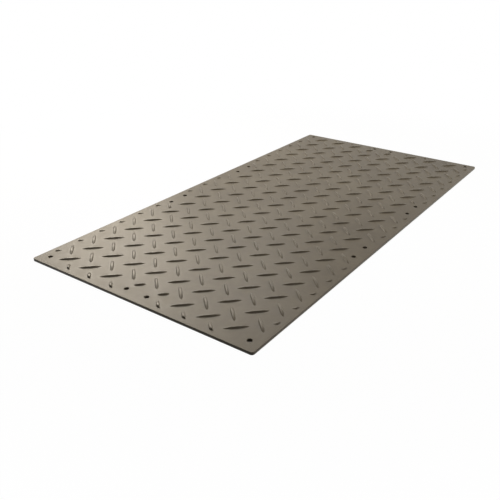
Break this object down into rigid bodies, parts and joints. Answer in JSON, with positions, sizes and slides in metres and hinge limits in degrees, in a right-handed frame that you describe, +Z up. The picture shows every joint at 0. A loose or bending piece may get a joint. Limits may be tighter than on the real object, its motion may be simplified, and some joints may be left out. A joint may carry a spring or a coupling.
{
  "type": "ground protection mat",
  "caption": "Flat rectangular ground protection mat with a raised diamond tread on top and link holes along its edges.",
  "frame": {"origin": "middle of the flat underside, on the ground", "axes": "+X along the long side, +Y along the short side, +Z up out of the tread face"},
  "size_m": [2.4384, 1.2192, 0.0191],
  "materials": {
    "moulded_polyethylene": "satin, dark warm grey, moulded with a faint mottle"
  },
  "bodies": {
    "root": {"ground_mat": "moulded_polyethylene"}
  },
  "joints": []
}
